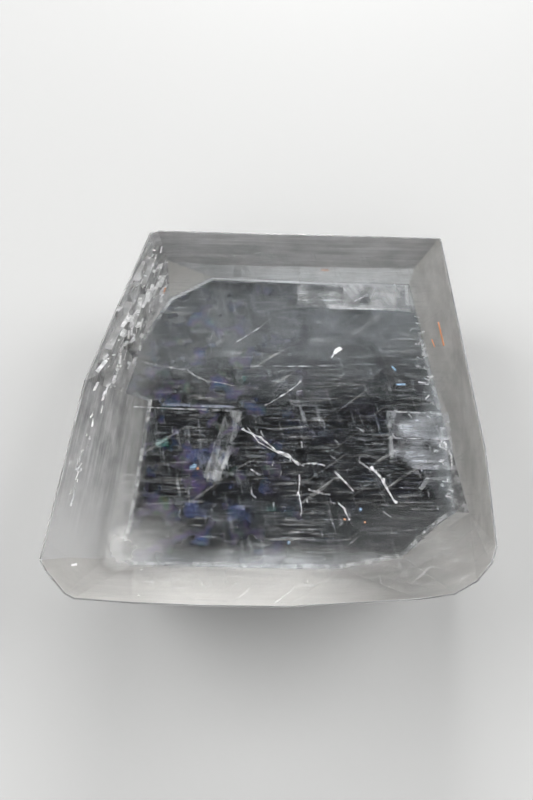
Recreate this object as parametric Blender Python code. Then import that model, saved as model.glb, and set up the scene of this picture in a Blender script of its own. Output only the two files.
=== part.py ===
"""A hand-sized crystal of clear calcite: a thick slab with a polished top, lying on its underside.

One natural solid. Its side walls are cleavage and ground faces that lean in towards the foot, and
its left wall has broken away in cleavage steps.
"""

import math

import bmesh
import bpy
from mathutils import Matrix, Vector

MM = 0.001
THICKNESS = 42.0  # mm, from the foot to the polished top
FAR_GIRDLE = 9.0  # mm above the foot, where the far wall turns in to the foot
NEAR_GIRDLE = 3.5  # mm above the foot, where the near wall turns in to the foot
FLATNESS = math.radians(0.4)  # faces that differ by less than this are one face

# Corners in plan, in mm, anticlockwise from the middle of the near edge. +X is right, +Y is far.
RIM = [
    (1.4, -59.4), (28.6, -57.9), (36.4, -56.8), (41.8, -54.0), (45.8, -50.0), (47.7, -46.2),
    (50.3, -21.8), (52.2, 55.0), (51.6, 55.7), (-37.8, 59.3), (-40.3, 58.2), (-51.0, -0.6),
    (-52.3, -49.4), (-50.4, -51.8), (-45.4, -56.7), (-43.2, -57.7), (-31.0, -58.6), (-16.0, -59.2),
]
FAR_CORNERS = [(47.4, 58.6), (-24.0, 61.0)]
RIGHT_CORNERS = [(51.2, -28.6), (50.2, 6.0)]
NEAR_CORNERS = [(-43.0, -39.5), (-37.5, -42.8), (16.0, -43.6), (32.0, -40.6)]
FOOT = [
    (-38.5, -31.5), (43.0, -31.0), (48.2, -27.5), (49.4, 6.0), (46.1, 55.4), (-22.0, 59.3),
    (-36.0, 49.3), (-47.0, 24.0), (-47.4, 6.0), (-42.0, -29.5),
]
CORNER_TIP = (-36.8, 60.2, 14.0)  # mm, the top of the small facet at the far left corner

# The near half of the left wall has split away along a cleavage plane that leans in to the foot.
SPLIT_LEAN = math.radians(-16.0)  # the split plane leans out towards the rim
SPLIT_BACK_LEAN = math.radians(11.5)  # the end of the split leans out too, but less
SPLIT_TURN = math.radians(-2.0)
SPLIT_CORNER = (-39.0, 8.0)  # mm, where the split begins at the foot
SPLIT_BLOCK = (40.0, 90.0, 140.0)  # mm, larger than the gap, so that it cuts right through

# Slivers lost from the far half of the left wall: place along the wall from its near end, height
# above the foot, length, height of the sliver and depth, all in mm.
WALL_START = Vector((-51.0, -0.6))
WALL_END = Vector((-40.3, 58.2))
CLEAVAGE_LEAN = math.radians(15.0)
SIDE_TILTS = (-0.6, 0.4)  # parts of that lean, in towards the wall, taken in turn
END_TILTS = (-0.2, 0.25, 0.25)  # parts of that lean, along the wall, taken in turn
SLIVERS = [
    (13.0, 4.0, 15.0, 20.0, 3.0),
    (22.0, 19.0, 19.0, 17.0, 1.7),
    (33.0, 3.0, 16.0, 24.0, 2.6),
    (41.0, 21.0, 15.0, 16.0, 1.5),
    (49.0, 9.0, 11.0, 23.0, 2.2),
    (14.0, 27.0, 12.0, 9.0, 1.2),
]


def in_metres(x, y, z):
    return Vector((x, y, z)) * MM


def crystal_corners():
    """Every corner of the whole crystal, before any of it splits away."""
    corners = [in_metres(x, y, THICKNESS) for x, y in RIM]
    corners += [in_metres(x, y, FAR_GIRDLE) for x, y in FAR_CORNERS]
    corners += [in_metres(x, y, NEAR_GIRDLE) for x, y in RIGHT_CORNERS + NEAR_CORNERS]
    corners += [in_metres(x, y, 0.0) for x, y in FOOT]
    corners.append(in_metres(*CORNER_TIP))
    return corners


def make_crystal(collection):
    """The flat faces that span the corners, as a closed solid."""
    mesh = bpy.data.meshes.new("calcite_crystal")
    bm = bmesh.new()
    for corner in crystal_corners():
        bm.verts.new(corner)
    hull = bmesh.ops.convex_hull(bm, input=bm.verts)
    loose = [v for v in hull["geom_unused"] + hull["geom_interior"] if isinstance(v, bmesh.types.BMVert)]
    bmesh.ops.delete(bm, geom=loose, context="VERTS")
    bmesh.ops.dissolve_limit(bm, angle_limit=FLATNESS, verts=bm.verts, edges=bm.edges)
    bmesh.ops.recalc_face_normals(bm, faces=bm.faces)
    bm.to_mesh(mesh)
    bm.free()
    crystal = bpy.data.objects.new("calcite_crystal", mesh)
    collection.objects.link(crystal)
    return crystal


def make_cutter(collection, name, size, placement):
    """A block that stands for a piece of crystal split away."""
    mesh = bpy.data.meshes.new(name)
    bm = bmesh.new()
    bmesh.ops.create_cube(bm, size=1.0, matrix=Matrix.Diagonal((*size, 1.0)))
    bm.to_mesh(mesh)
    bm.free()
    cutter = bpy.data.objects.new(name, mesh)
    cutter.matrix_world = placement
    cutter.hide_render = True
    cutter.display_type = "WIRE"
    collection.objects.link(cutter)
    return cutter


def split_block(collection):
    """The large piece missing from the near half of the left wall."""
    size = in_metres(*SPLIT_BLOCK)
    lean = Matrix.Rotation(SPLIT_LEAN, 4, "Y") @ Matrix.Rotation(SPLIT_BACK_LEAN, 4, "X")
    turn = Matrix.Rotation(SPLIT_TURN, 4, "Z")
    corner = Matrix.Translation((-size.x / 2, -size.y / 2, 0.0))
    place = Matrix.Translation(in_metres(*SPLIT_CORNER, 0.0))
    return make_cutter(collection, "split_block", size, place @ turn @ lean @ corner)


def sliver_blocks(collection):
    """The small cleavage steps along the far half of the left wall."""
    along = (WALL_END - WALL_START).normalized()
    heading = Matrix.Rotation(math.atan2(along.y, along.x), 4, "Z")
    blocks = []
    for index, (distance, low, length, height, depth) in enumerate(SLIVERS):
        spot = WALL_START + along * distance
        place = Matrix.Translation(in_metres(spot.x, spot.y, low + height / 2))
        side = CLEAVAGE_LEAN * SIDE_TILTS[index % len(SIDE_TILTS)]
        end = CLEAVAGE_LEAN * END_TILTS[index % len(END_TILTS)]
        tilt = Matrix.Rotation(side, 4, "Y") @ Matrix.Rotation(end, 4, "X")
        size = Vector((length, 2 * depth, height)) * MM
        name = f"sliver_block_{index + 1}"
        blocks.append(make_cutter(collection, name, size, place @ heading @ tilt))
    return blocks


def centre_on_foot(crystal, cutters):
    """Moves everything so that the origin is under the middle of the crystal's outline."""
    xs = [v.co.x for v in crystal.data.vertices]
    ys = [v.co.y for v in crystal.data.vertices]
    shift = Matrix.Translation((-(min(xs) + max(xs)) / 2, -(min(ys) + max(ys)) / 2, 0.0))
    crystal.data.transform(shift)
    for cutter in cutters:
        cutter.matrix_world = shift @ cutter.matrix_world


def clear_calcite():
    material = bpy.data.materials.new("clear_calcite")
    material.use_nodes = True
    shader = material.node_tree.nodes["Principled BSDF"]
    shader.inputs["Base Color"].default_value = (0.86, 0.88, 0.90, 1.0)
    shader.inputs["Roughness"].default_value = 0.12
    shader.inputs["Metallic"].default_value = 0.0
    shader.inputs["IOR"].default_value = 1.62
    shader.inputs["Transmission Weight"].default_value = 0.9
    return material


for old in list(bpy.data.objects):
    bpy.data.objects.remove(old, do_unlink=True)

specimen = bpy.data.collections.new("calcite_specimen")
cutter_shelf = bpy.data.collections.new("cutters")
bpy.context.scene.collection.children.link(specimen)
bpy.context.scene.collection.children.link(cutter_shelf)

body = make_crystal(specimen)
body.data.materials.append(clear_calcite())
missing = [split_block(cutter_shelf), *sliver_blocks(cutter_shelf)]
centre_on_foot(body, missing)
for block in missing:
    cut = body.modifiers.new(block.name, "BOOLEAN")
    cut.operation = "DIFFERENCE"
    cut.solver = "EXACT"
    cut.object = block
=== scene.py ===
"""A hand specimen of clear calcite, lying on its foot on a pale studio floor."""

import math
import random

import bpy
from mathutils import Euler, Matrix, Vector


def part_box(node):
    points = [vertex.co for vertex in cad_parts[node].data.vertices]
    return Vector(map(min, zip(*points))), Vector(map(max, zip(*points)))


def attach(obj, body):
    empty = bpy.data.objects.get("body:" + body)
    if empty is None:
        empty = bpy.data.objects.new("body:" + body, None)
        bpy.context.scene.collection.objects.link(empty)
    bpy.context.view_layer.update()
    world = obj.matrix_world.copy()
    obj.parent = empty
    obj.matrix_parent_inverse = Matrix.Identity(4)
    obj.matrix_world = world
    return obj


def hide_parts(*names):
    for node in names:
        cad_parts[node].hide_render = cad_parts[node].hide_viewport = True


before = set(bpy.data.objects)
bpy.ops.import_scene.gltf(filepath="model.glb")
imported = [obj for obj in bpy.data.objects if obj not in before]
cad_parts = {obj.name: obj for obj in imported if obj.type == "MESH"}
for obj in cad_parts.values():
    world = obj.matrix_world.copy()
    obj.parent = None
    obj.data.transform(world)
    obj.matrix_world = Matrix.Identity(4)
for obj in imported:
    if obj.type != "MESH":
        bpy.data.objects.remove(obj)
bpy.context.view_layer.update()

# ---------------------------------------------------------------------------------------------
# The crystal itself: one solid of clear calcite. Its top is polished, most of its side walls are
# ground to a satin finish, and its foot is a flat cleavage face that it rests on. Its left wall
# has broken along cleavage, in one large split and many small steps.
# ---------------------------------------------------------------------------------------------
CRYSTAL = "calcite_crystal"
MM = 0.001
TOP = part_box(CRYSTAL)[1]  # the upper corner of its box
EDGE_ROUND = 0.35 * MM
POLISH = 0.06 * MM  # left free over the top for the polish marks


def select_only(*pieces):
    for other in bpy.context.selected_objects:
        other.select_set(False)
    for piece in pieces:
        piece.select_set(True)
    bpy.context.view_layer.objects.active = pieces[0]


def edit(piece):
    """Opens a piece in edit mode with everything selected."""
    select_only(piece)
    bpy.ops.object.mode_set(mode="EDIT")
    bpy.ops.mesh.select_mode(type="FACE")
    bpy.ops.mesh.select_all(action="SELECT")


def done():
    bpy.ops.object.mode_set(mode="OBJECT")


def apply_all(piece):
    select_only(piece)
    for modifier in list(piece.modifiers):
        bpy.ops.object.modifier_apply(modifier=modifier.name)


def cut(piece, tool, operation):
    step = piece.modifiers.new(operation.lower(), "BOOLEAN")
    step.operation = operation
    step.object = tool
    apply_all(piece)


def part_of_crystal(piece):
    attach(piece, "root")
    return piece


def copy_of_crystal(name):
    """A mesh of its own with the crystal's faces, joined along their edges and shaded flat."""
    piece = bpy.data.objects.new(name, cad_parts[CRYSTAL].data.copy())
    bpy.context.scene.collection.objects.link(piece)
    select_only(piece)
    bpy.ops.mesh.customdata_custom_splitnormals_clear()
    bpy.ops.object.shade_flat()
    edit(piece)
    bpy.ops.mesh.remove_doubles(threshold=0.01 * MM)
    bpy.ops.mesh.dissolve_limited(angle_limit=math.radians(0.5))
    done()
    piece.data.materials.clear()
    return piece


def twin(piece, name):
    """A copy of a piece, with a mesh of its own."""
    other = piece.copy()
    other.data = piece.data.copy()
    other.name = name
    bpy.context.scene.collection.objects.link(other)
    return other


crystal = copy_of_crystal("calcite_body")

# Slivers that broke off the far left wall, small ones beside the large ones that the CAD holds.
chance = random.Random(11)
WALL_FROM = Vector((-50.4, 3.0, 0.0)) * MM
WALL_TO = Vector((-41.5, 55.0, 0.0)) * MM
WALL_LEAN = 1.6 * MM
SLIVERS = 34
wall_turn = math.atan2(WALL_TO.y - WALL_FROM.y, WALL_TO.x - WALL_FROM.x)
cutters = []
for number in range(SLIVERS):
    along = chance.uniform(0.02, 0.97)
    height = chance.uniform(4.0, 36.0) * MM
    spot = WALL_FROM.lerp(WALL_TO, along) + Vector((0.0, 0.0, height))
    spot.x += WALL_LEAN * (1.0 - height / TOP.z)
    length = chance.uniform(2.5, 9.0)
    deep = chance.uniform(0.7, 2.2)
    tall = chance.uniform(3.0, 12.0)
    lean = chance.choice((-15, -15, 12, 24)) + chance.uniform(-4, 4)
    turn = wall_turn + math.radians(chance.choice((-12, 0, 0, 9)) + chance.uniform(-3, 3))
    tip = chance.uniform(-10, 16)
    bpy.ops.mesh.primitive_cube_add(
        size=1.0, location=spot, rotation=(math.radians(tip), math.radians(lean), turn),
        scale=(length * MM, deep * MM, tall * MM),
    )
    cutters.append(bpy.context.object)
for tool in cutters:
    cut(crystal, tool, "DIFFERENCE")
    bpy.data.objects.remove(tool)
edit(crystal)
bpy.ops.mesh.remove_doubles(threshold=0.02 * MM)
bpy.ops.mesh.dissolve_limited(angle_limit=math.radians(1.0))
done()
core = twin(crystal, "broken_guide")

SHARP = math.radians(28)  # edges sharper than this are worn round
rim = crystal.modifiers.new("rim", "BEVEL")
rim.width = EDGE_ROUND
rim.segments = 2
rim.limit_method = "ANGLE"
rim.angle_limit = SHARP
rim.use_clamp_overlap = True
apply_all(crystal)


def node_in(tree, kind, inputs=None, **settings):
    """A new node, with its settings, and its inputs set to a value or linked to a socket."""
    node = tree.nodes.new(kind)
    for name, value in settings.items():
        setattr(node, name, value)
    for name, value in (inputs or {}).items():
        if isinstance(value, bpy.types.NodeSocket):
            tree.links.new(value, node.inputs[name])
        else:
            node.inputs[name].default_value = value
    return node


def math_in(tree, operation, first, second):
    return node_in(tree, "ShaderNodeMath", {0: first, 1: second}, operation=operation).outputs[0]


def scaled(tree, value, low, high, start=0.0, end=1.0, **settings):
    """Low where the value is at the start, high where it is at the end, and even between them."""
    limits = {"From Min": start, "From Max": end, "To Min": low, "To Max": high}
    ramp = node_in(tree, "ShaderNodeMapRange", {"Value": value, **limits}, **settings)
    return ramp.outputs["Result"]


def new_material(name):
    material = bpy.data.materials.new(name)
    material.use_nodes = True
    tree = material.node_tree
    return material, tree, tree.nodes["Principled BSDF"]


def new_group(name, numbers, vectors):
    """A node group with these inputs and one output, Mask."""
    group = bpy.data.node_groups.new(name, "ShaderNodeTree")
    for label in vectors:
        group.interface.new_socket(label, in_out="INPUT", socket_type="NodeSocketVector")
    for label in numbers:
        group.interface.new_socket(label, in_out="INPUT", socket_type="NodeSocketFloat")
    group.interface.new_socket("Mask", in_out="OUTPUT", socket_type="NodeSocketFloat")
    return group, group.nodes.new("NodeGroupInput").outputs, group.nodes.new("NodeGroupOutput")


def streaks_group():
    """Fine lines that run along the turned X axis, as polishing and cleavage leave them."""
    group, given, out = new_group(
        "fine_streaks", ("Fineness", "Length", "Coverage", "Softness"), ("Turn", "Shift")
    )
    place = node_in(group, "ShaderNodeTexCoord").outputs["Object"]
    turned = node_in(
        group, "ShaderNodeMapping",
        {"Vector": place, "Rotation": given["Turn"], "Location": given["Shift"]},
    )
    squeeze = math_in(group, "DIVIDE", 1.0, given["Length"])
    scale = node_in(group, "ShaderNodeCombineXYZ", {0: squeeze, 1: 1.0, 2: 1.0})
    long = node_in(
        group, "ShaderNodeVectorMath", {0: turned.outputs[0], 1: scale.outputs[0]}, operation="MULTIPLY"
    )
    noise = node_in(
        group, "ShaderNodeTexNoise",
        {"Vector": long.outputs[0], "Scale": given["Fineness"], "Detail": 5.0, "Roughness": 0.62},
    )
    low = math_in(group, "SUBTRACT", 1.0, given["Coverage"])
    high = math_in(group, "ADD", low, given["Softness"])
    mask = scaled(group, noise.outputs["Fac"], 0.0, 1.0, low, high)
    group.links.new(mask, out.inputs["Mask"])
    return group


STREAKS = streaks_group()


def streaks(tree, fineness, length, coverage, softness, turn=(0, 0, 0), shift=(0, 0, 0)):
    """Lines so many to the metre, and so many times as long as they are wide."""
    node = node_in(tree, "ShaderNodeGroup", node_tree=STREAKS)
    values = {"Fineness": fineness, "Length": length, "Coverage": coverage, "Softness": softness}
    for label, value in {**values, "Turn": turn, "Shift": shift}.items():
        node.inputs[label].default_value = value
    return node.outputs["Mask"]


CALCITE_INDEX = 1.6
WORN_MORE = 0.04


def clear_glass(name, roughness, marks=0.0):
    """Clear calcite with a finely worn face. Marks is how deep the wear goes."""
    material, tree, shader = new_material(name)
    shader.inputs["Base Color"].default_value = (1, 1, 1, 1)
    shader.inputs["IOR"].default_value = CALCITE_INDEX
    shader.inputs["Transmission Weight"].default_value = 1.0
    wear = streaks(tree, 900.0, 14.0, 0.52, 0.2)
    rough = scaled(tree, wear, roughness, roughness + WORN_MORE)
    tree.links.new(rough, shader.inputs["Roughness"])
    if marks:
        bump = node_in(
            tree, "ShaderNodeBump", {"Height": wear, "Distance": marks, "Strength": 0.35}
        )
        tree.links.new(bump.outputs["Normal"], shader.inputs["Normal"])
    return material


def on_far_left(face):
    """True on the broken wall, past the large split."""
    return face.normal.x < -0.3 and face.center.y > 6 * MM and face.center.x < -30 * MM


POLISHED, GROUND, CLEAVED = range(3)
crystal.data.materials.append(clear_glass("polished_calcite", 0.02, 0.02 * MM))
crystal.data.materials.append(clear_glass("ground_calcite", 0.40, 0.10 * MM))
crystal.data.materials.append(clear_glass("cleaved_calcite", 0.06))
LARGE_FACE = 2 * MM * MM  # smaller ones are the worn edges, which are smooth
for face in crystal.data.polygons:
    if abs(face.normal.z) > 0.98:
        face.material_index = POLISHED
    elif on_far_left(face):
        face.material_index = CLEAVED
    else:
        face.material_index = GROUND if face.area > LARGE_FACE else POLISHED
edit(crystal)
bpy.ops.transform.resize(value=(1, 1, 1 - POLISH / TOP.z), center_override=(0, 0, 0))
done()
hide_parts(CRYSTAL)
part_of_crystal(crystal)

# ---------------------------------------------------------------------------------------------
# The ground surfaces: grinding leaves a skin of tiny cracks a fraction of a millimetre deep,
# which is what looks white or grey through the clear top. Each wall has its own tone, partly its
# grinding and partly painted light and shade for how much light that wall catches.
# ---------------------------------------------------------------------------------------------
SKIN_DEPTH = 0.35 * MM
SKIN_THICK = 0.06 * MM
FAR_STRIP_TOP = 9.0 * MM
CLEARANCE = 0.985  # keeps the sheets inside clear of the faces around them


def clouds_group():
    """Soft patches of a given size."""
    group, given, out = new_group("clouds", ("Size", "Coverage", "Softness", "Detail"), ("Shift",))
    place = node_in(group, "ShaderNodeTexCoord").outputs["Object"]
    moved = node_in(group, "ShaderNodeMapping", {"Vector": place, "Location": given["Shift"]})
    scale = math_in(group, "DIVIDE", 1.0, given["Size"])
    noise = node_in(
        group, "ShaderNodeTexNoise",
        {"Vector": moved.outputs[0], "Scale": scale, "Detail": given["Detail"], "Roughness": 0.55},
    )
    low = math_in(group, "SUBTRACT", 1.0, given["Coverage"])
    high = math_in(group, "ADD", low, given["Softness"])
    mask = scaled(group, noise.outputs["Fac"], 0.0, 1.0, low, high)
    group.links.new(mask, out.inputs["Mask"])
    return group


CLOUDS = clouds_group()


def clouds(tree, size, coverage, softness, detail=3.0, shift=(0, 0, 0)):
    """Patches of a size in metres. More detail makes their edges more ragged."""
    node = node_in(tree, "ShaderNodeGroup", node_tree=CLOUDS)
    values = {"Size": size, "Coverage": coverage, "Softness": softness, "Detail": detail}
    for label, value in {**values, "Shift": shift}.items():
        node.inputs[label].default_value = value
    return node.outputs["Mask"]


def fade(tree, axis, start, end, low=0.0, high=1.0):
    """A value that goes from low to high between two places along an axis, in metres."""
    place = node_in(tree, "ShaderNodeTexCoord").outputs["Object"]
    split = node_in(tree, "ShaderNodeSeparateXYZ", {0: place})
    along = split.outputs["XYZ".index(axis)]
    return scaled(tree, along, low, high, start, end, interpolation_type="SMOOTHSTEP")


def times(tree, *values):
    product = values[0]
    for value in values[1:]:
        product = math_in(tree, "MULTIPLY", product, value)
    return product


def blend(tree, factor, first, second):
    """From the first number to the second, as the factor goes from 0 to 1."""
    mix = node_in(tree, "ShaderNodeMix", {"Factor": factor, 2: first, 3: second}, data_type="FLOAT")
    return mix.outputs[0]


def blend_colours(tree, factor, first, second):
    mix = node_in(tree, "ShaderNodeMix", {"Factor": factor, 6: first, 7: second}, data_type="RGBA")
    return mix.outputs[2]


SKIN_ROUGH = 0.75
SKIN_COVER = 0.93
MILK_TONE = 0.70


def wall_skin(
    name, tones, lines, tint=(1.0, 1.0, 1.0), patchy=0.5, size=9 * MM, fades=(), milky=None
):
    """Frosted calcite between a dark and a pale tone, in soft patches and fine lines.

    The lines hold what streaks takes, and patchy is how much the patches count against them. Each
    of the fades scales the tone along an axis, to paint in light and shade. Milky is the fade along
    which it turns white.
    """
    material, tree, shader = new_material(name)
    patch = clouds(tree, size, 0.66, 0.36, 4.0)
    line = streaks(tree, *lines)
    shade = scaled(tree, blend(tree, patchy, line, patch), *tones)
    for fading in fades:
        shade = times(tree, shade, fade(tree, *fading))
    if milky:
        shade = blend(tree, fade(tree, *milky), shade, MILK_TONE)
    colour = blend_colours(tree, shade, (0, 0, 0, 1), (*tint, 1))
    tree.links.new(colour, shader.inputs["Base Color"])
    shader.inputs["Alpha"].default_value = SKIN_COVER
    shader.inputs["Roughness"].default_value = SKIN_ROUGH
    return material


UPRIGHT = (0, math.radians(90), 0)
ALONG_Y = (0, 0, math.radians(90))
WARM = (1.0, 0.98, 0.94)
# Tones and fades paint in light and shade as well as the grinding: the split wall darker towards the
# foot, the near wall darker towards its right and lighter at its right corner.
WALLS = {
    "far": wall_skin("far_wall", (0.40, 0.76), (420.0, 18.0, 0.56, 0.3)),
    "far_strip": wall_skin(
        "far_strip", (0.66, 1.0), (600.0, 12.0, 0.6, 0.25), (0.97, 0.99, 1.0),
        fades=[("X", -22 * MM, 12 * MM, 0.66, 1.0)],
    ),
    "corner": wall_skin("far_corner", (0.54, 0.64), (90.0, 2.0, 0.6, 0.4), WARM),
    "right": wall_skin(
        "right_wall", (0.44, 0.66), (1200.0, 10.0, 0.6, 0.4, UPRIGHT), WARM, 0.75,
        fades=[("Y", 20 * MM, 50 * MM, 1.0, 1.22), ("Y", -20 * MM, -38 * MM, 1.0, 1.12)],
    ),
    "right_strip": wall_skin(
        "right_strip", (0.05, 0.50), (500.0, 6.0, 0.52, 0.2, UPRIGHT), patchy=0.3
    ),
    "near": wall_skin(
        "near_wall", (0.76, 1.0), (700.0, 16.0, 0.6, 0.3), WARM, 0.7, 20 * MM,
        fades=[
            ("X", -50 * MM, -14 * MM, 0.70, 1.0),
            ("X", 0, 26 * MM, 1.0, 0.46),
            ("X", 30 * MM, 42 * MM, 1.0, 1.32),
        ],
    ),
    "split": wall_skin(
        "split_wall", (0.28, 0.80), (700.0, 14.0, 0.58, 0.30, ALONG_Y), size=7 * MM,
        fades=[("Z", 1 * MM, 20 * MM, 0.45, 1.0), ("Y", 8 * MM, -20 * MM, 0.84, 1.0)],
        milky=("Y", -16 * MM, -46 * MM),
    ),
    "broken": wall_skin(
        "broken_wall", (0.34, 0.92), (330.0, 3.0, 0.60, 0.34, (0.3, 0.2, 0.4)), size=6 * MM
    ),
    "outside": wall_skin(
        "outer_face", (0.26, 0.80), (700.0, 22.0, 0.57, 0.20), patchy=0.55, size=12 * MM
    ),
    "outside_broken": wall_skin("outer_break", (0.38, 0.86), (330.0, 3.0, 0.56, 0.3), size=6 * MM),
}


def wall_of(face):
    """The name of the wall that a face belongs to. Headings are anticlockwise from the right."""
    outward = face.normal
    inner = outward.dot(face.center - Vector((0, 0, TOP.z / 2))) < 0
    if inner:
        outward = -outward
    heading = math.degrees(math.atan2(outward.y, outward.x))
    place = face.center
    broken = place.y > 6 * MM and (
        place.x < -38 * MM or (place.x < -30 * MM and abs(heading) > 130 and outward.z > -0.2)
    )
    if not inner:
        return "outside_broken" if broken else "outside"
    if broken:
        return "broken"
    if 60 < heading < 120:
        return "far_strip" if place.z < FAR_STRIP_TOP - MM else "far"
    if 120 <= heading <= 160 and outward.z < -0.1:
        return "corner"
    if -28 < heading <= 60:
        return "right_strip" if outward.z < -0.35 and place.z < 3 * MM else "right"
    return "near" if -160 < heading <= -28 else "split"


def is_top(face):
    return face.normal.z > 0.9 and face.center.z > TOP.z - MM


def is_foot(face):
    return face.normal.z < -0.85 and face.center.z < 3 * MM


def select_faces(piece, wanted):
    """Selects the faces that the test wants, and leaves the piece in edit mode."""
    edit(piece)
    bpy.ops.mesh.select_all(action="DESELECT")
    done()
    for face in piece.data.polygons:
        face.select = wanted(face)
    bpy.ops.object.mode_set(mode="EDIT")


def face_sheet(name, source, wanted, inset, thickness):
    """The wanted faces of a crystal as a thin closed sheet just inside it."""
    sheet = twin(source, name)
    select_faces(sheet, lambda face: not wanted(face))
    bpy.ops.mesh.delete(type="FACE")
    bpy.ops.mesh.select_all(action="SELECT")
    bpy.ops.transform.shrink_fatten(value=-inset)
    if sheet.dimensions.z > MM:
        bpy.ops.transform.resize(value=(1, 1, CLEARANCE), center_override=(0, 0, TOP.z / 2))
    done()
    wall = sheet.modifiers.new("thickness", "SOLIDIFY")
    wall.thickness = thickness
    wall.offset = -1.0
    apply_all(sheet)
    return sheet


skin = face_sheet(
    "ground_walls", core, lambda face: not is_top(face) and not is_foot(face), SKIN_DEPTH, SKIN_THICK
)
order = list(WALLS)
for name in order:
    skin.data.materials.append(WALLS[name])
for face in skin.data.polygons:
    face.material_index = order.index(wall_of(face))
part_of_crystal(skin)
bpy.data.objects.remove(core)

# ---------------------------------------------------------------------------------------------
# The foot, a clear cleavage face seen down through the crystal. A thin dark film paints in the
# shade under the crystal, where the floor beneath gets little light, with painted colours where air
# has crept into the cleavage under it and splits the light. Its far edge is sharp, and a thin white
# line paints in the highlight it catches.
# ---------------------------------------------------------------------------------------------
guide = copy_of_crystal("crystal_guide")
material, tree, shader = new_material("foot_dark")
film = clouds(tree, 8 * MM, 0.50, 0.20, 4.0, (0.013, 0.04, 0))
hue = clouds(tree, 7 * MM, 0.72, 0.44, 2.5, (0.05, 0.02, 0))
rainbow = node_in(tree, "ShaderNodeValToRGB", {0: hue})
FOOT_DARK = (0.004, 0.006, 0.009, 1)
FILM_COLOURS = {
    0.0: (0.02, 0.09, 0.09, 1),
    0.3: (0.01, 0.03, 0.13, 1),
    0.55: (0.07, 0.04, 0.11, 1),
    0.8: (0.04, 0.09, 0.06, 1),
    1.0: (0.12, 0.07, 0.04, 1),
}
stops = rainbow.color_ramp.elements
stops[0].position = 0.0
stops[1].position = 1.0
for position in list(FILM_COLOURS)[1:-1]:
    stops.new(position)
for stop, colour in zip(stops, FILM_COLOURS.values(), strict=True):
    stop.color = colour
left = fade(tree, "X", 16 * MM, -24 * MM, 0.15, 1.3)
amount = times(tree, film, left)
dark = blend_colours(tree, amount, FOOT_DARK, rainbow.outputs[0])
tree.links.new(dark, shader.inputs["Base Color"])
shader.inputs["Roughness"].default_value = 0.5
shader.inputs["Specular IOR Level"].default_value = 0.1
shader.inputs["Alpha"].default_value = 0.93
VEIL_THICK = 0.05 * MM
# A dark sheet that paints in the shade under the crystal.
foot = face_sheet("foot_shade", guide, is_foot, 0.15 * MM, VEIL_THICK)
foot.data.materials.append(material)
part_of_crystal(foot)

# The foot's outer band, one millimetre wide, lifted clear of the film: a painted highlight, strong
# along the far edge and in flecks where the edge is worn.
EDGE_WIDTH = 1.0 * MM
EDGE_LIFT = 0.75 * MM
edge = twin(guide, "foot_edge_highlight")
select_faces(edge, lambda face: not is_foot(face))
bpy.ops.mesh.delete(type="FACE")
bpy.ops.mesh.select_all(action="SELECT")
bpy.ops.mesh.inset(thickness=EDGE_WIDTH)
bpy.ops.mesh.delete(type="FACE")
bpy.ops.mesh.select_all(action="SELECT")
bpy.ops.transform.translate(value=(0, 0, EDGE_LIFT))
bpy.ops.transform.resize(value=(0.99, 0.99, 1), center_override=(0, 0, 0))
done()
thick = edge.modifiers.new("thickness", "SOLIDIFY")
thick.thickness = 0.08 * MM
apply_all(edge)
# White that paints in the highlight on the foot's edge.
material, tree, shader = new_material("foot_edge_highlight")
shader.inputs["Base Color"].default_value = (0.97, 0.98, 0.99, 1)
far = fade(tree, "Y", 40 * MM, 48 * MM, 0.08, 0.95)
wear_and_glints = clouds(tree, 2.5 * MM, 0.62, 0.2, 3.0)
alpha = math_in(tree, "MAXIMUM", far, times(tree, wear_and_glints, 0.35))
tree.links.new(alpha, shader.inputs["Alpha"])
edge.data.materials.append(material)
part_of_crystal(edge)

# ---------------------------------------------------------------------------------------------
# Veils: calcite cleaves in flat sheets, and light catches the ones that have begun to open.
# They lie nearly level, one over another, from the polish marks down to the haze on the foot,
# and the milky one is thick only at the near left corner.
# ---------------------------------------------------------------------------------------------
SHEET_WIDTH = 200 * MM  # wider than the crystal, whose outline then cuts it


def level_sheet(name, height, thickness, material, lean=(0.0, 0.0)):
    """A thin sheet right across the crystal, at a height above the foot. The lean is in degrees."""
    bpy.ops.mesh.primitive_cube_add(
        size=1.0, location=(0, 0, height), scale=(SHEET_WIDTH, SHEET_WIDTH, thickness),
        rotation=(math.radians(lean[0]), math.radians(lean[1]), 0),
    )
    sheet = bpy.context.object
    sheet.name = name
    bpy.ops.object.transform_apply(location=True, rotation=True, scale=True)
    cut(sheet, guide, "INTERSECT")
    edit(sheet)
    inside = (CLEARANCE, CLEARANCE, 1)
    bpy.ops.transform.resize(value=inside, center_override=(0, 0, height))
    done()
    sheet.data.materials.clear()
    sheet.data.materials.append(material)
    return part_of_crystal(sheet)


def veil_finish(name, colour, mask_of, strength):
    """White haze whose cover is strength times the mask that mask_of builds."""
    material, tree, shader = new_material(name)
    alpha = times(tree, mask_of(tree), strength)
    tree.links.new(alpha, shader.inputs["Alpha"])
    shader.inputs["Base Color"].default_value = (*colour, 1)
    shader.inputs["Roughness"].default_value = 0.8
    return material


def plus(tree, first, second):
    return math_in(tree, "ADD", first, second)


def highest(tree, *values):
    most = values[0]
    for value in values[1:]:
        most = math_in(tree, "MAXIMUM", most, value)
    return most


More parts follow.
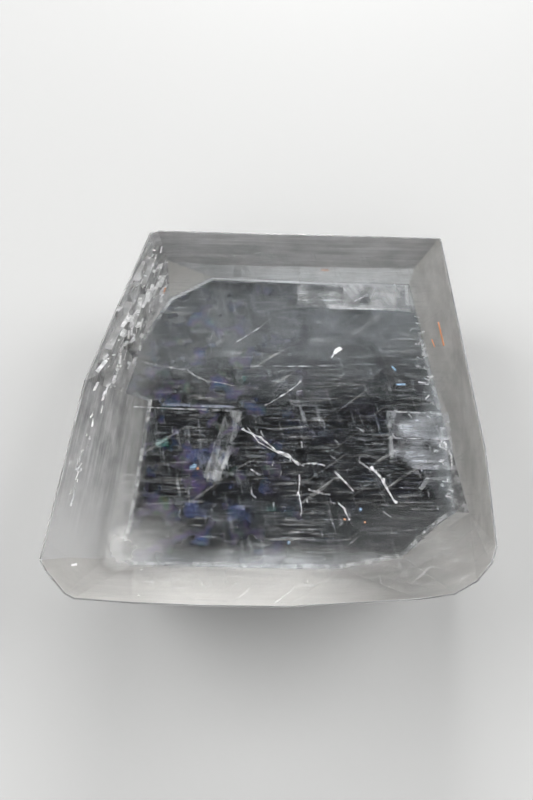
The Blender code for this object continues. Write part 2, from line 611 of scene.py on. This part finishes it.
def foot_haze(tree):
    """Uneven haze along the foot's edges, thickest at the rim and towards the far wall."""
    patch = clouds(tree, 12 * MM, 0.66, 0.42, 7.0)
    far = fade(tree, "Y", 2 * MM, 32 * MM, 0.0, 0.15)
    near = fade(tree, "Y", -22 * MM, -31 * MM, 0.0, 0.02)
    rim = fade(tree, "Y", -37 * MM, -45 * MM, 0.0, 0.30)
    rim = times(tree, rim, fade(tree, "X", 8 * MM, 32 * MM, 1.0, 0.35))
    left = fade(tree, "X", -36 * MM, -48 * MM, 0.0, 0.25)
    right = fade(tree, "X", 41 * MM, 51 * MM, 0.0, 0.35)
    corner = fade(tree, "X", 8 * MM, 34 * MM, 0.0, 0.24)
    corner = times(tree, corner, fade(tree, "Y", 14 * MM, 34 * MM))
    uneven = plus(tree, times(tree, patch, 0.7), 0.30)
    return times(tree, uneven, highest(tree, far, near, rim, left, right, corner))


def milk(tree):
    """Thick at the near left corner, thin along the left wall and the near edge, none in the middle."""
    left = fade(tree, "X", -33 * MM, -42 * MM, 0.0, 0.20)
    left = times(tree, left, fade(tree, "Y", 42 * MM, 16 * MM))
    near_left = fade(tree, "X", -18 * MM, -44 * MM, 0.0, 0.46)
    near_left = times(tree, near_left, fade(tree, "Y", -27 * MM, -46 * MM))
    near_right = fade(tree, "X", 10 * MM, 34 * MM, 0.0, 0.06)
    near_right = times(tree, near_right, fade(tree, "Y", -26 * MM, -38 * MM))
    near = fade(tree, "Y", -39 * MM, -46 * MM, 0.0, 0.14)
    inside = fade(tree, "X", -44.5 * MM, -40 * MM)
    inside = times(tree, inside, fade(tree, "Y", -48.5 * MM, -44.5 * MM))
    patch = times(tree, clouds(tree, 12 * MM, 0.66, 0.36, 9.0), 0.75)
    most = times(tree, highest(tree, left, near_left, near_right, near), inside)
    return times(tree, plus(tree, patch, 0.25), most)


def away_from_walls(tree):
    """One in the middle, fading to nothing at the left and right walls."""
    left = fade(tree, "X", -43 * MM, -34 * MM)
    return times(tree, left, fade(tree, "X", 50 * MM, 42 * MM))


def deep_lines(tree):
    """Level lines in patches, closest together towards the right wall."""
    line = streaks(tree, 1500.0, 14.0, 0.46, 0.14)
    patch = plus(tree, clouds(tree, 9 * MM, 0.60, 0.3, 5.0, (0.03, 0, 0)), 0.35)
    patch = plus(tree, patch, fade(tree, "X", 30 * MM, 46 * MM, 0.0, 2.0))
    return times(tree, line, patch, away_from_walls(tree))


def middle_lines(tree):
    """Nearly level lines in patches, crossed by a few fine ones."""
    line = streaks(tree, 1300.0, 9.0, 0.455, 0.14, (0, 0, math.radians(2)), (0.02, 0.01, 0))
    hair = streaks(tree, 900.0, 9.0, 0.43, 0.08, (0, 0, math.radians(78)), (0.01, 0.04, 0))
    patch = plus(tree, clouds(tree, 10 * MM, 0.58, 0.25, 5.0, (0.01, 0.03, 0.02)), 0.3)
    return times(tree, highest(tree, line, hair), patch, away_from_walls(tree))


def polish_lines(tree):
    """Level and slanted lines, dust and smudges, as polishing and handling leave them."""
    level = streaks(tree, 1900.0, 15.0, 0.455, 0.12)
    slanted = streaks(tree, 900.0, 22.0, 0.375, 0.07, (0, 0, math.radians(-38)))
    slanted = times(tree, slanted, fade(tree, "Y", 34 * MM, 20 * MM))
    dust = times(tree, clouds(tree, 0.5 * MM, 0.27, 0.03, 2.0), 5.0)
    smudge = clouds(tree, 14 * MM, 0.60, 0.3, 7.0)
    mottle = clouds(tree, 2.2 * MM, 0.55, 0.25, 6.0)
    thick = times(tree, plus(tree, smudge, 0.3), plus(tree, mottle, 0.4))
    lines = highest(tree, times(tree, level, thick), slanted, dust)
    lines = times(tree, lines, away_from_walls(tree))
    return plus(tree, lines, times(tree, smudge, mottle, 0.12))


COOL_WHITE = (0.86, 0.93, 0.99)
PLAIN_WHITE = (0.93, 0.93, 0.92)
MILK_WHITE = (0.86, 0.855, 0.84)
haze = face_sheet("foot_haze", guide, is_foot, 0.6 * MM, VEIL_THICK)
haze.data.materials.append(veil_finish("foot_haze", COOL_WHITE, foot_haze, 1.0))
part_of_crystal(haze)
milky = veil_finish("milky_veil", MILK_WHITE, milk, 1.0)
level_sheet("milky_veil", 18 * MM, VEIL_THICK, milky)
deep = veil_finish("deep_veil", COOL_WHITE, deep_lines, 0.08)
level_sheet("deep_veil", 12 * MM, VEIL_THICK, deep, (1.5, 0.8))
middle = veil_finish("middle_veil", COOL_WHITE, middle_lines, 0.085)
level_sheet("middle_veil", 25 * MM, VEIL_THICK, middle, (-1.0, 1.2))
marks = veil_finish("polish_marks", PLAIN_WHITE, polish_lines, 0.066)
level_sheet("polish_marks", TOP.z - POLISH / 2, POLISH * 0.7, marks)
bpy.data.objects.remove(guide)

# ---------------------------------------------------------------------------------------------
# Cracks: crooked breaks that run across the cleavage. Light is thrown back by the air in them,
# so they look white.
# ---------------------------------------------------------------------------------------------
CRACK_THICK = 0.08 * MM
CRACK_WAVES = 0.14 * MM


def crack(path, height, drop, lean, uneven, seed):
    """A thin crooked sheet along a path of places at one height, narrower towards its end.

    Places, height and drop are in millimetres, and the lean is in degrees from upright.
    """
    first = Vector((*path[0], height)) * MM
    bpy.ops.mesh.primitive_plane_add(
        size=drop * MM, location=first + Vector((0, drop * MM / 2, 0)),
        rotation=(0, math.radians(90 + lean), 0),
    )
    sheet = bpy.context.object
    bpy.ops.object.transform_apply(location=True, rotation=True, scale=True)
    edit(sheet)
    bpy.ops.mesh.select_mode(type="VERT")
    bpy.ops.mesh.select_all(action="DESELECT")
    done()
    for corner in sheet.data.vertices:
        corner.select = corner.co.y > first.y + drop * MM / 2
    bpy.ops.object.mode_set(mode="EDIT")
    bpy.ops.mesh.delete(type="VERT")
    bpy.ops.mesh.select_all(action="SELECT")
    for before, after in zip(path, path[1:]):
        step = Vector((after[0] - before[0], after[1] - before[1], 0)) * MM
        bpy.ops.mesh.extrude_region_move(TRANSFORM_OT_translate={"value": step})
    last = Vector((*path[-1], height)) * MM
    bpy.ops.transform.resize(value=(0.3, 0.3, 0.3), center_override=last)
    bpy.ops.mesh.select_all(action="SELECT")
    bpy.ops.mesh.subdivide(number_cuts=5, fractal=uneven, fractal_along_normal=0.5, seed=seed)
    bpy.ops.transform.vertex_random(offset=CRACK_WAVES, seed=seed)
    done()
    wall = sheet.modifiers.new("thickness", "SOLIDIFY")
    wall.thickness = CRACK_THICK
    apply_all(sheet)
    return sheet


def gather(name, pieces, material):
    """Joins the pieces into one, gives it its finish and makes it a part of the crystal."""
    select_only(*pieces)
    if len(pieces) > 1:
        bpy.ops.object.join()
    whole = bpy.context.view_layer.objects.active
    whole.name = name
    whole.data.materials.clear()
    whole.data.materials.append(material)
    edit(whole)
    bpy.ops.mesh.normals_make_consistent(inside=False)
    done()
    return part_of_crystal(whole)


def snow(name, tone, cover, uneven, size, rough=0.6):
    """White broken calcite: cover is how solid it looks, uneven how much that varies."""
    material, tree, shader = new_material(name)
    shader.inputs["Base Color"].default_value = (*tone, 1)
    shader.inputs["Roughness"].default_value = rough
    patch = clouds(tree, size, 0.62, 0.24, 4.0)
    alpha = scaled(tree, patch, cover - uneven, cover)
    tree.links.new(alpha, shader.inputs["Alpha"])
    return material


cracks = [
    crack([(-9.2, -11.4), (-4.2, -14.1), (0.4, -18.6), (3.2, -20.4), (6.5, -22.7)], 28, 0.5, 25, 2.6, 3),
    crack([(-8.0, -11.0), (-5.0, -15.5), (-1.0, -18.0), (0.4, -18.8)], 27, 0.3, -20, 2.6, 4),
    crack([(-0.5, -18.4), (2.6, -19.6), (5.2, -22.6)], 28.4, 0.8, 40, 2.6, 5),
    crack([(6.0, -22.6), (9.0, -22.2), (11.8, -22.9)], 28, 0.4, 10, 2.2, 6),
    crack([(23.5, -23.3), (26.3, -26.7), (28.8, -33.1)], 30, 0.75, 35, 2.8, 7),
    crack([(20.8, -22.4), (22.8, -24.4), (24.6, -24.6)], 30, 0.6, 10, 2.2, 8),
    crack([(14.6, -22.5), (16.2, -24.2), (19.1, -27.9)], 22, 0.55, 30, 3.0, 9),
    crack([(14.9, -31.5), (16.4, -33.0), (17.4, -36.0)], 24, 0.45, 30, 3.0, 16),
    crack([(7.7, -27.9), (10.2, -28.6), (12.9, -29.3)], 24, 0.45, 20, 2.2, 10),
    crack([(5.2, -25.0), (4.6, -30.0), (5.2, -35.7)], 26, 0.3, 15, 3.0, 11),
    crack([(43.5, -15.0), (44.6, -19.0), (44.0, -23.0)], 26, 0.9, 20, 2.6, 13),
    crack([(-7.0, -23.0), (-5.2, -24.4), (-4.4, -24.6)], 26, 0.5, 20, 2.0, 15),
]
gather("cracks", cracks, snow("crack_white", (0.99, 0.99, 1.0), 0.85, 0.75, 1.2 * MM, 0.3))
wisps = [
    crack([(-39.3, 13.3), (-33.0, 11.6), (-25.7, 10.1), (-22.0, 7.0)], 22, 0.08, 0, 1.6, 12),
    crack([(-26.0, 10.4), (-23.8, 8.2), (-20.0, 6.0), (-12.0, 4.6)], 22, 0.07, 0, 1.6, 14),
    crack([(-11.6, 17.3), (-6.0, 21.6), (-1.4, 26.2)], 30, 0.10, 0, 1.6, 17),
    crack([(-3.4, -4.9), (1.0, -1.6), (6.2, 3.4)], 30, 0.10, 0, 1.6, 18),
]
WISPS = 34
for number in range(WISPS):
    spot = (chance.uniform(-18, 40), chance.uniform(-36, -6))
    reach = chance.uniform(0.6, 2.4)
    way = math.radians(chance.choice((-42, -60, 82, 100)) + chance.uniform(-14, 14))
    right, ahead = reach * math.cos(way), reach * math.sin(way)
    middle = (spot[0] + right / 2 + chance.uniform(-0.2, 0.2), spot[1] + ahead / 2)
    path = [spot, middle, (spot[0] + right, spot[1] + ahead)]
    height = chance.uniform(14, 34)
    wisps.append(crack(path, height, chance.uniform(0.04, 0.12), 30, 2.4, 20 + number))
gather("wisps", wisps, snow("wisp_white", (0.96, 0.97, 0.98), 0.42, 0.38, 2 * MM, 0.4))

# ---------------------------------------------------------------------------------------------
# Blades: flat splinters of cleavage that opened inside the crystal, seen as pale panels. The
# large one on the right is crossed by fine lines, and a long thin one on the left shines lilac.
# White lines mark the edges of others.
# ---------------------------------------------------------------------------------------------


def splinter(place, size, turn, taper=0.5, uneven=0.0, seed=1):
    """A flat four-sided chip, narrowed at one end and roughened. All in millimetres, degrees."""
    bpy.ops.mesh.primitive_cube_add(
        size=1.0, location=Vector(place) * MM, rotation=[math.radians(angle) for angle in turn],
        scale=Vector(size) * MM,
    )
    chip = bpy.context.object
    end = chip.matrix_world @ Vector((0.5, 0, 0))
    bpy.ops.object.transform_apply(location=True, rotation=True, scale=True)
    select_faces(chip, lambda face: (face.center - end).length < 1e-6)
    bpy.ops.transform.resize(value=(taper, taper, taper), center_override=end)
    bpy.ops.mesh.select_all(action="SELECT")
    bpy.ops.mesh.subdivide(number_cuts=1, fractal=uneven, fractal_along_normal=0.0, seed=seed)
    done()
    return chip


def panel_finish(name, colour, cover, fineness, angle, size=5 * MM):
    """Pale and broken up, with fine lines at an angle."""
    material, tree, shader = new_material(name)
    line = streaks(tree, fineness, 12.0, 0.55, 0.2, (0, 0, math.radians(angle)))
    patch = clouds(tree, size, 0.60, 0.25, 5.0)
    lined = plus(tree, times(tree, line, 0.7), 0.3)
    alpha = times(tree, lined, patch, cover)
    tree.links.new(alpha, shader.inputs["Alpha"])
    shader.inputs["Base Color"].default_value = (*colour, 1)
    return material


gather(
    "right_panel", [splinter((38.0, -13.0, 22), (17, 17.5, 0.08), (0, 2, -3), 0.92)],
    panel_finish("right_panel", (0.88, 0.92, 1.0), 0.42, 900.0, 0, 7 * MM),
)
blades = [
    splinter((-14.4, -14.8, 24), (21.0, 4.4, 0.08), (3, 4, -105), 0.40),
    splinter((-12.2, -14.6, 24.6), (16.0, 1.3, 0.08), (0, 4, -105), 0.5),
    splinter((36.5, -27.5, 30), (6.0, 1.0, 0.08), (10, 0, 52), 0.4),
    splinter((31.0, -7.5, 26), (6.5, 1.0, 0.08), (10, 0, 66), 0.4),
    splinter((29.6, -16.5, 26), (7.0, 0.9, 0.08), (10, 0, 84), 0.3),
]
pale = panel_finish("pale_blades", (0.92, 0.94, 0.96), 0.36, 1100.0, 105, 6 * MM)
gather("pale_blades", blades, pale)
lilac = panel_finish("lilac_blade", (0.66, 0.74, 0.95), 0.55, 900.0, 2, 9 * MM)
gather("lilac_blade", [splinter((-22.0, -1.3, 20), (20.0, 0.9, 0.08), (0, 0, -2.5), 2.6)], lilac)
lines = [
    splinter((-26.5, -2.4, 20.2), (27.0, 0.22, 0.12), (0, 0, -2.5), 0.4),
    splinter((37.5, -4.6, 22.4), (15.0, 0.35, 0.12), (0, 0, -4), 0.4, 0.2, 3),
    splinter((37.5, -12.8, 22.4), (16.0, 0.25, 0.12), (0, 0, -2), 0.4, 0.2, 4),
    splinter((3.0, 8.3, 30), (27.0, 0.09, 0.1), (0, 0, 0), 0.5, 0.1, 6),
]
gather("white_lines", lines, snow("line_white", (0.95, 0.96, 0.98), 0.6, 0.6, 2.5 * MM))

# ---------------------------------------------------------------------------------------------
# The bright patch on the foot under the far wall: a broken film of air between the foot and a
# cleavage sheet that has lifted there.
# ---------------------------------------------------------------------------------------------
wide_film = splinter((26.5, 49.0, 1.0), (38.0, 10.5, 0.1), (0, 0, -3), 1.0, 0.05, 2)
bright_film = splinter((34.0, 48.6, 1.3), (22.0, 10.0, 0.1), (0, 0, -3), 0.95, 0.05, 3)
thin = panel_finish("lifted_film", (0.95, 0.97, 0.98), 0.85, 600.0, 0, 9 * MM)
thick = panel_finish("bright_film", (0.97, 0.98, 1.0), 1.0, 500.0, 60, 7 * MM)
gather("lifted_film", [wide_film], thin)
gather("bright_film", [bright_film], thick)
lips = [
    splinter((31.5, 43.2, 1.6), (27.0, 0.6, 0.25), (0, 0, -3), 0.6, 0.1, 4),
    splinter((44.2, 48.5, 3.0), (1.1, 8.5, 0.2), (0, 20, -4), 0.7, 0.1, 5),
    splinter((41.0, 50.5, 3.0), (0.7, 6.0, 0.2), (0, 20, 8), 0.5, 0.1, 6),
    splinter((33.0, 50.0, 2.0), (0.6, 5.0, 0.2), (0, 10, -25), 0.4, 0.1, 7),
    splinter((29.0, 48.0, 2.0), (6.0, 0.4, 0.2), (0, 10, 35), 0.4, 0.1, 8),
]
gather("film_lips", lips, snow("lip_white", (0.97, 0.98, 1.0), 1.0, 0.35, 1.5 * MM))

# ---------------------------------------------------------------------------------------------
# Flakes: small chips of cleavage along the broken wall, the left rim and the worn right edge of
# the foot. They lie close to the wall they came from, a little off flat, and glitter.
# ---------------------------------------------------------------------------------------------
WALL_FLAKES = 150
LARGE_FLAKES = 10
RIM_FLAKES = 30
EDGE_FLAKES = 60
FLAKE_THICK = 0.08
WALL_HEADING = math.degrees(wall_turn)
RIM_HEADING = 84


def behind_broken_wall(along, height, deep):
    """A place in millimetres, a depth behind the broken wall, which leans in more at its far end."""
    spot = WALL_FROM.lerp(WALL_TO, along) / MM
    lean = (1 - height * MM / TOP.z) * (0.5 + 6.0 * along)
    return (spot.x + deep + lean, spot.y, height)


def off_flat(tilt, heading, swing):
    """A turn in degrees that is a little off flat and a little off its heading."""
    lean = chance.uniform(-tilt, tilt)
    tip = chance.uniform(-tilt, tilt)
    return (lean, tip, heading + chance.uniform(-swing, swing))


flakes = []
for number in range(WALL_FLAKES):
    along = chance.random()
    height = chance.uniform(8.0, 38.0) if number % 3 else chance.gauss(24.0, 3.0)
    deep = chance.choice((1.6, 2.4, 3.2)) + chance.uniform(-0.2, 0.5)
    length = 0.5 + 3.2 * chance.random() ** 2
    width = 0.15 + 1.0 * chance.random() ** 2
    place = behind_broken_wall(along, height, deep)
    turn = off_flat(24, WALL_HEADING, 16)
    taper = chance.uniform(0.1, 0.8)
    flakes.append(splinter(place, (length, width, FLAKE_THICK), turn, taper, 0.2, number))
for number in range(LARGE_FLAKES):
    along = 0.30 + 0.06 * number
    height = 36.0 - 1.5 * number + chance.uniform(-3.0, 3.0)
    size = (chance.uniform(2.0, 5.5), chance.uniform(0.7, 1.6), 0.1)
    turn = off_flat(14, WALL_HEADING, 10)
    flakes.append(splinter(behind_broken_wall(along, height, 3.0), size, turn, 0.3, 0.3, number))
flakes += [
    splinter((-47.8, 5.0, 38), (4.6, 1.0, 0.1), (0, 8, 66), 0.15, 0.9, 3),
    splinter((-48.4, -1.5, 37), (3.0, 0.6, 0.1), (0, 8, 78), 0.1, 0.9, 4),
    splinter((-47.4, 8.5, 37), (2.2, 0.7, 0.1), (0, 8, 60), 0.2, 0.9, 5),
]
gather("broken_flakes", flakes, snow("flake_white", (1.0, 1.0, 1.0), 0.95, 0.45, 2 * MM, 0.3))
flakes = []
for number in range(RIM_FLAKES):
    along = chance.random()
    inward = -49.6 + 4.2 * along ** 2 + chance.uniform(-0.5, 1.1)
    place = (inward, -34.0 + 34.0 * along, chance.uniform(33.0, 38.0))
    size = (chance.uniform(0.6, 3.6), chance.uniform(0.12, 0.45), FLAKE_THICK)
    turn = off_flat(18, RIM_HEADING, 12)
    flakes.append(splinter(place, size, turn, chance.uniform(0.1, 0.8), 0.2, number))
gather("rim_flakes", flakes, snow("rim_white", (0.99, 0.99, 1.0), 0.75, 0.5, 2 * MM, 0.3))
flakes = []
for number in range(EDGE_FLAKES):
    along = chance.uniform(-26.0, 40.0)
    size = (chance.uniform(0.3, 2.2), chance.uniform(0.1, 0.5), FLAKE_THICK)
    lean = chance.uniform(-20, 20)
    tip = chance.uniform(-30, 30)
    turn = (lean, tip, chance.choice((0, 0, 75)) + chance.uniform(-35, 35))
    place = (47.2 - abs(chance.gauss(0, 1.9)), along, chance.uniform(1.0, 9.0))
    flakes.append(splinter(place, size, turn, chance.uniform(0.1, 0.8), 0.2, number))
gather("edge_flakes", flakes, snow("edge_white", (0.96, 0.96, 0.97), 0.85, 0.5, 3 * MM, 0.4))

# ---------------------------------------------------------------------------------------------
# Glints: white chips close under the top, and specks and faint pools where a thin film of air
# splits the light into one colour.
# ---------------------------------------------------------------------------------------------
chips = [
    splinter((16.8, 9.9, 40), (1.9, 1.2, 0.1), (0, 0, 35), 0.2, 0.2, 2),
    splinter((15.9, 8.9, 40), (1.1, 0.9, 0.1), (0, 0, 60), 0.4, 0.2, 3),
    splinter((15.1, 7.7, 40), (1.4, 0.25, 0.1), (0, 0, 60), 0.5, 0.2, 4),
    # This chip at the near left corner is a painted highlight on the rim.
    splinter((-45.0, -50.5, 39), (1.2, 0.5, 0.1), (0, 0, 10), 0.5, 0.2, 5),
]
gather("white_chips", chips, snow("chip_white", (1.0, 1.0, 1.0), 1.0, 0.1, 1 * MM))


def coloured(name, colour, cover, size=None):
    """A film of one colour, even all over or, where a size is given, in patches of that size."""
    material, tree, shader = new_material(name)
    shader.inputs["Base Color"].default_value = (*colour, 1)
    shader.inputs["Alpha"].default_value = cover
    if size:
        alpha = times(tree, clouds(tree, size, 0.56, 0.3, 4.0), cover)
        tree.links.new(alpha, shader.inputs["Alpha"])
    shader.inputs["Roughness"].default_value = 0.3
    return material


blue = [
    splinter((-23.0, -18.0, 12), (1.5, 0.45, 0.1), (0, 0, 5), 0.6, 0.2, 2),
    splinter((-22.4, -17.3, 12), (0.9, 0.3, 0.1), (0, 0, -20), 0.6, 0.2, 3),
    splinter((21.4, -30.2, 12), (0.5, 0.4, 0.1), (0, 0, 10), 0.6, 0.2, 4),
    splinter((2.6, -39.0, 12), (0.5, 0.4, 0.1), (0, 0, 10), 0.6, 0.2, 5),
    splinter((36.6, 9.0, 12), (2.6, 0.4, 0.1), (0, 0, 2), 0.5, 0.2, 8),
    splinter((35.2, 14.8, 12), (1.8, 0.3, 0.1), (0, 0, -55), 0.4, 0.2, 9),
]
gather("blue_specks", blue, coloured("speck_blue", (0.45, 0.72, 1.0), 0.9))
orange = [
    splinter((-21.6, -18.3, 12), (0.6, 0.5, 0.1), (0, 0, 5), 0.6, 0.2, 2),
    splinter((17.1, -32.9, 12), (0.6, 0.4, 0.1), (0, 0, -20), 0.6, 0.2, 3),
    splinter((22.2, -33.7, 12), (0.4, 0.4, 0.1), (0, 0, 10), 0.6, 0.2, 4),
    splinter((47.9, 20.0, 30), (0.5, 9.0, 0.1), (0, 0, 1), 0.4, 0.1, 5),
    splinter((45.8, 18.2, 26), (0.35, 3.0, 0.1), (0, 0, 8), 0.4, 0.1, 6),
    splinter((17.0, 57.6, 8), (2.6, 0.4, 0.1), (0, 0, -3), 0.7, 0.2, 7),
    splinter((-36.5, 46.5, 12), (0.5, 2.2, 0.1), (0, 0, -6), 0.5, 0.2, 8),
]
gather("orange_specks", orange, coloured("speck_orange", (1.0, 0.46, 0.22), 0.75))
pools = [
    splinter((-21.5, -14.5, 10), (7.0, 5.5, 0.06), (0, 0, 8), 0.7, 0.1, 2),
    splinter((-16.0, -29.0, 6), (18.0, 4.5, 0.06), (0, 0, -4), 0.7, 0.1, 3),
]
gather("blue_pools", pools, coloured("pool_blue", (0.01, 0.04, 0.20), 0.55, 5 * MM))
teal = [
    splinter((-5.0, -28.5, 6.5), (9.0, 0.8, 0.06), (0, 0, -2), 0.5, 0.1, 2),
    splinter((-12.0, 9.0, 16), (6.0, 3.0, 0.06), (0, 0, 12), 0.6, 0.1, 3),
    splinter((-33.0, -6.0, 8), (3.5, 9.0, 0.06), (0, 0, 10), 0.6, 0.1, 4),
]
gather("teal_pools", teal, coloured("pool_teal", (0.02, 0.22, 0.20), 0.6, 8 * MM))

# ---------------------------------------------------------------------------------------------
# The studio: a pale paper floor, greyer near the crystal where the lamps are strong, and soft
# lamps behind, on either side and in front. The camera looks down at the top by 55 degrees.
# ---------------------------------------------------------------------------------------------
FLOOR_SIZE = 9.0
FLOOR_GAP = 0.3 * MM
FLOOR_GREY = (0.25, 0.25, 0.247, 1)
FLOOR_WHITE = (0.9, 0.9, 0.895, 1)
GREY_REACH = 0.7
WHITE_REACH = 3.0
bpy.ops.mesh.primitive_plane_add(size=FLOOR_SIZE, location=(0, 0, -FLOOR_GAP))
floor = bpy.context.object
floor.name = "studio_floor"
paper, tree, shader = new_material("floor_paper")
place = node_in(tree, "ShaderNodeTexCoord").outputs["Object"]
distance = node_in(tree, "ShaderNodeVectorMath", {0: place}, operation="LENGTH").outputs["Value"]
away = scaled(tree, distance, 0.0, 1.0, GREY_REACH, WHITE_REACH)
tone = blend_colours(tree, away, FLOOR_GREY, FLOOR_WHITE)
tree.links.new(tone, shader.inputs["Base Color"])
shader.inputs["Roughness"].default_value = 0.9
floor.data.materials.append(paper)


def softbox(name, place, size, power):
    """A square lamp turned towards the crystal. Place and size are in metres, power in watts."""
    light = bpy.data.lights.new(name, "AREA")
    light.size = size
    light.energy = power
    lamp = bpy.data.objects.new(name, light)
    bpy.context.scene.collection.objects.link(lamp)
    lamp.location = place
    lamp.rotation_euler = (-Vector(place)).to_track_quat("-Z", "Y").to_euler()


softbox("back", (0.10, 1.60, 0.58), 0.6, 50)
softbox("right", (0.90, 0.15, 0.78), 0.8, 21)
softbox("left", (-0.90, 0.15, 0.78), 0.8, 21)
softbox("front", (-0.20, -0.95, 0.70), 0.7, 14)
world = bpy.data.worlds.new("studio")
bpy.context.scene.world = world
world.use_nodes = True
tree = world.node_tree
direction = node_in(tree, "ShaderNodeTexCoord").outputs["Generated"]
upward = node_in(tree, "ShaderNodeSeparateXYZ", {0: direction}).outputs["Z"]
glow = scaled(tree, upward, 0.60, 0.10, 0.1, 0.55)
tree.links.new(glow, tree.nodes["Background"].inputs["Strength"])
tree.nodes["Background"].inputs["Color"].default_value = (0.98, 0.99, 1.0, 1)

CAMERA_TILT = math.radians(35.0)
CAMERA_X = -0.0030
CAMERA_Y = -0.0962
CAMERA_ABOVE_TOP = 0.1262
lens = bpy.data.cameras.new("camera")
lens.sensor_fit = "VERTICAL"
lens.sensor_height = 36.0
lens.lens = 27.0
camera = bpy.data.objects.new("camera", lens)
bpy.context.scene.collection.objects.link(camera)
camera.location = (CAMERA_X, CAMERA_Y, TOP.z + CAMERA_ABOVE_TOP)
camera.rotation_euler = Euler((CAMERA_TILT, 0, 0))
bpy.context.scene.camera = camera
cycles = bpy.context.scene.cycles
cycles.max_bounces = 24
cycles.transmission_bounces = 20
cycles.transparent_max_bounces = 32
cycles.diffuse_bounces = 4
cycles.sample_clamp_indirect = 20.0
bpy.context.scene.view_settings.view_transform = "Standard"
